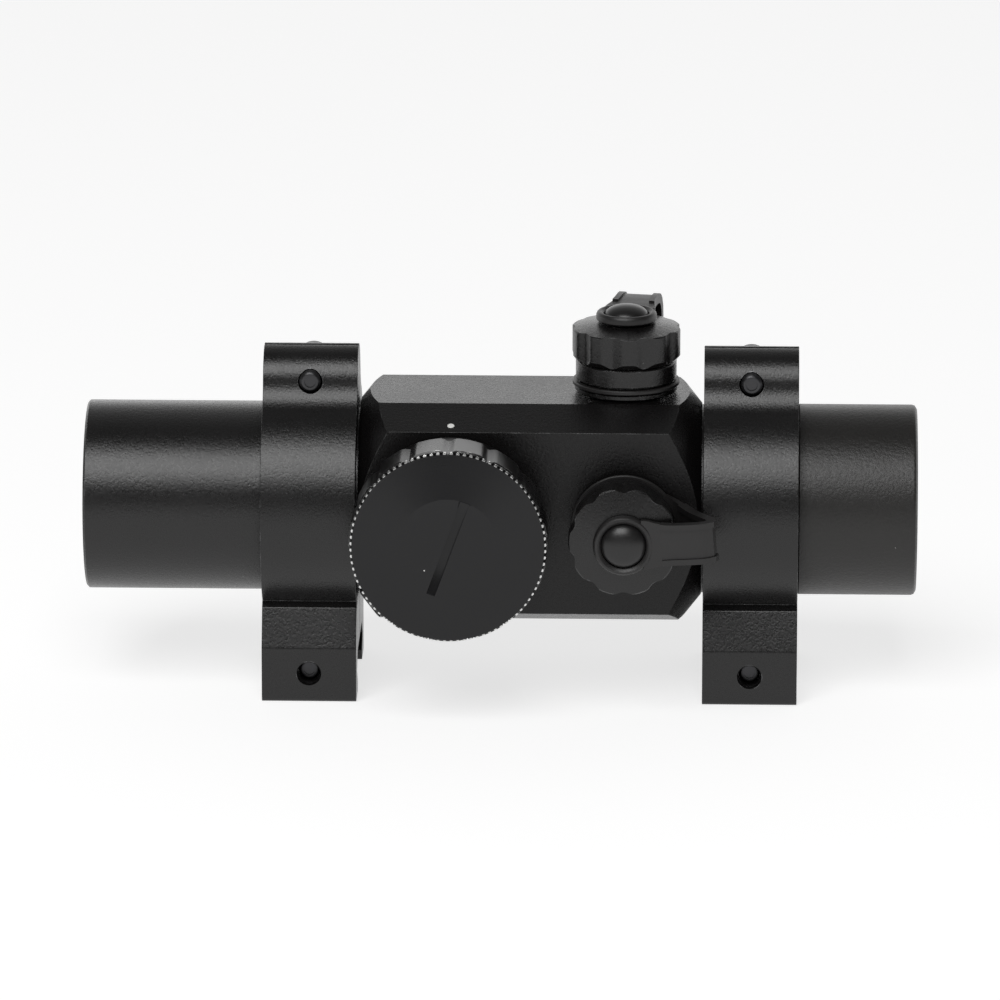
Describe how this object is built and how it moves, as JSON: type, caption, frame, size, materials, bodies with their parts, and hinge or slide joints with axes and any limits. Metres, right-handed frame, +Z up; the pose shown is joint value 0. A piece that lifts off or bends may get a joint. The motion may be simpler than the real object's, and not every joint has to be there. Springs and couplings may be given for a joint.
{
  "type": "red dot finder",
  "caption": "Tube-type red dot sight with a squared turret block, strapped turret caps, side brightness dial with coin cell cap, and split rail rings.",
  "frame": {"origin": "centre of the bounding box's bottom face, on the plane the ring feet stand on", "axes": "+X along the tube towards the objective (front) end, +Z up through the elevation turret, +Y to the sight's left, so the dial and windage turret face -Y"},
  "size_m": [0.1318, 0.0492, 0.0617],
  "materials": {
    "satin_black": "fine bead-blasted black anodising, satin",
    "matte_black": "dull matte black anodising",
    "dial_black": "turned black anodising with fine lathe lines and a knurled rim",
    "strap_rubber": "moulded black rubber, semi-matte",
    "rubber_black": "black nitrile rubber",
    "black_screw": "black oxide steel",
    "steel": "bright steel",
    "brass": "turned brass",
    "window_glass": "clear polished glass",
    "coated_glass": "polished glass with a red-reflecting coating",
    "circuit_board": "green glass-fibre board",
    "moulding": "black moulded plastic",
    "led_red": "red tinted lens"
  },
  "bodies": {
    "housing": {"main_housing": "satin_black", "rear_tube": "satin_black", "front_sleeve": "matte_black", "front_window": "window_glass", "rear_window": "window_glass", "rear_window_retainer": "matte_black", "return_spring": "steel", "emitter_lead": "rubber_black", "dial_base": "satin_black", "switch_board": "circuit_board", "detent_spring": "steel", "detent_ball": "steel", "elevation_turret_base": "satin_black", "windage_turret_base": "satin_black", "elevation_cap_strap": "strap_rubber", "windage_cap_strap": "strap_rubber", "rear_ring_right_half": "satin_black", "front_ring_right_half": "satin_black"},
    "gimbal": {"gimbal_ring": "brass"},
    "collimator": {"collimator_tube": "matte_black", "objective_lens": "coated_glass", "lens_retainer": "matte_black", "emitter_holder": "moulding", "led_emitter": "led_red", "dot_mask": "steel"},
    "dial": {"brightness_dial": "dial_black", "battery_contact": "brass", "coin_cell": "steel"},
    "battery_cap_seal": {"battery_cap_seal": "rubber_black"},
    "battery_cap": {"battery_cap": "dial_black"},
    "elevation_screw": {"elevation_screw": "brass"},
    "elevation_push_pin": {"elevation_push_pin": "steel"},
    "elevation_cap_seal": {"elevation_cap_seal": "rubber_black"},
    "elevation_cap": {"elevation_cap": "satin_black", "elevation_strap_rivet": "strap_rubber"},
    "windage_screw": {"windage_screw": "brass"},
    "windage_push_pin": {"windage_push_pin": "steel"},
    "windage_cap_seal": {"windage_cap_seal": "rubber_black"},
    "windage_cap": {"windage_cap": "satin_black", "windage_strap_rivet": "strap_rubber"},
    "rear_ring_left_half": {"rear_ring_left_half": "satin_black"},
    "rear_ring_cross_bolt": {"rear_ring_cross_bolt": "black_screw"},
    "rear_ring_top_screw": {"rear_ring_top_screw": "black_screw"},
    "front_ring_left_half": {"front_ring_left_half": "satin_black"},
    "front_ring_cross_bolt": {"front_ring_cross_bolt": "black_screw"},
    "front_ring_top_screw": {"front_ring_top_screw": "black_screw"}
  },
  "joints": [
    {"name": "brightness_dial_turn", "type": "hinge", "parent": "housing", "child": "dial", "pos_m": [-0.0077, -0.00955, 0.0299], "axis": [0, 1, 0], "range_deg": [0, 330]},
    {"name": "battery_cap_travel", "type": "slide", "parent": "dial", "child": "battery_cap_seal", "axis": [0, -1, 0], "range_m": [0, 0.003]},
    {"name": "battery_cap_turn", "type": "hinge", "parent": "battery_cap_seal", "child": "battery_cap", "pos_m": [-0.0077, -0.00955, 0.0299], "axis": [0, -1, 0], "range_deg": [0, 1080]},
    {"name": "collimator_pitch", "type": "hinge", "parent": "housing", "child": "gimbal", "pos_m": [-0.0153, 0.00625, 0.0299], "axis": [0, -1, 0], "range_deg": [-1.5, 1.5], "deforming": ["return_spring"]},
    {"name": "collimator_yaw", "type": "hinge", "parent": "gimbal", "child": "collimator", "pos_m": [-0.0153, 0.00625, 0.0299], "axis": [0, 0, -1], "range_deg": [-1.5, 1.5], "deforming": ["return_spring"]},
    {"name": "elevation_cap_travel", "type": "slide", "parent": "housing", "child": "elevation_cap_seal", "axis": [0, 0, 1], "range_m": [0, 0.003], "deforming": ["elevation_cap_strap"]},
    {"name": "elevation_cap_turn", "type": "hinge", "parent": "elevation_cap_seal", "child": "elevation_cap", "pos_m": [0.0197, 0.00625, 0.04755], "axis": [0, 0, 1], "range_deg": [0, 1080]},
    {"name": "elevation_screw_turn", "type": "hinge", "parent": "housing", "child": "elevation_screw", "pos_m": [0.0197, 0.00625, 0.04755], "axis": [0, 0, 1], "range_deg": [-648, 648]},
    {"name": "elevation_push_pin_travel", "type": "slide", "parent": "housing", "child": "elevation_push_pin", "axis": [0, 0, 1], "range_m": [-0.00091, 0.00091]},
    {"name": "windage_cap_travel", "type": "slide", "parent": "housing", "child": "windage_cap_seal", "axis": [0, -1, 0], "range_m": [0, 0.003], "deforming": ["windage_cap_strap"]},
    {"name": "windage_cap_turn", "type": "hinge", "parent": "windage_cap_seal", "child": "windage_cap", "pos_m": [0.0197, -0.00955, 0.0299], "axis": [0, -1, 0], "range_deg": [0, 1080]},
    {"name": "windage_screw_turn", "type": "hinge", "parent": "housing", "child": "windage_screw", "pos_m": [0.0197, -0.00955, 0.0299], "axis": [0, -1, 0], "range_deg": [-648, 648]},
    {"name": "windage_push_pin_travel", "type": "slide", "parent": "housing", "child": "windage_push_pin", "axis": [0, -1, 0], "range_m": [-0.00091, 0.00091]},
    {"name": "rear_ring_opening", "type": "slide", "parent": "housing", "child": "rear_ring_left_half", "axis": [0, 1, 0], "range_m": [0, 0.002]},
    {"name": "rear_cross_bolt_turn", "type": "hinge", "parent": "rear_ring_left_half", "child": "rear_ring_cross_bolt", "pos_m": [-0.0302, 0.00625, 0.0047], "axis": [0, 1, 0], "range_deg": [0, 900]},
    {"name": "rear_top_screw_turn", "type": "hinge", "parent": "rear_ring_left_half", "child": "rear_ring_top_screw", "pos_m": [-0.0302, 0.00625, 0.0503], "axis": [0, 1, 0], "range_deg": [0, 900]},
    {"name": "front_ring_opening", "type": "slide", "parent": "housing", "child": "front_ring_left_half", "axis": [0, 1, 0], "range_m": [0, 0.002]},
    {"name": "front_cross_bolt_turn", "type": "hinge", "parent": "front_ring_left_half", "child": "front_ring_cross_bolt", "pos_m": [0.0396, 0.00625, 0.0047], "axis": [0, 1, 0], "range_deg": [0, 900]},
    {"name": "front_top_screw_turn", "type": "hinge", "parent": "front_ring_left_half", "child": "front_ring_top_screw", "pos_m": [0.0396, 0.00625, 0.0503], "axis": [0, 1, 0], "range_deg": [0, 900]}
  ],
  "couplings": [
    {"joint": "battery_cap_travel", "follows": "battery_cap_turn", "m_per_rad": 0.000159},
    {"joint": "collimator_pitch", "follows": "elevation_screw_turn", "ratio": 0.0022736},
    {"joint": "collimator_yaw", "follows": "windage_screw_turn", "ratio": 0.0022736},
    {"joint": "elevation_cap_travel", "follows": "elevation_cap_turn", "m_per_rad": 0.000159},
    {"joint": "elevation_push_pin_travel", "follows": "elevation_screw_turn", "m_per_rad": 0.000079577},
    {"joint": "windage_cap_travel", "follows": "windage_cap_turn", "m_per_rad": 0.000159},
    {"joint": "windage_push_pin_travel", "follows": "windage_screw_turn", "m_per_rad": 0.000079577},
    {"joint": "rear_ring_opening", "follows": "rear_cross_bolt_turn", "m_per_rad": 0.000127},
    {"joint": "rear_top_screw_turn", "follows": "rear_cross_bolt_turn", "ratio": 1},
    {"joint": "front_ring_opening", "follows": "front_cross_bolt_turn", "m_per_rad": 0.000127},
    {"joint": "front_top_screw_turn", "follows": "front_cross_bolt_turn", "ratio": 1}
  ]
}
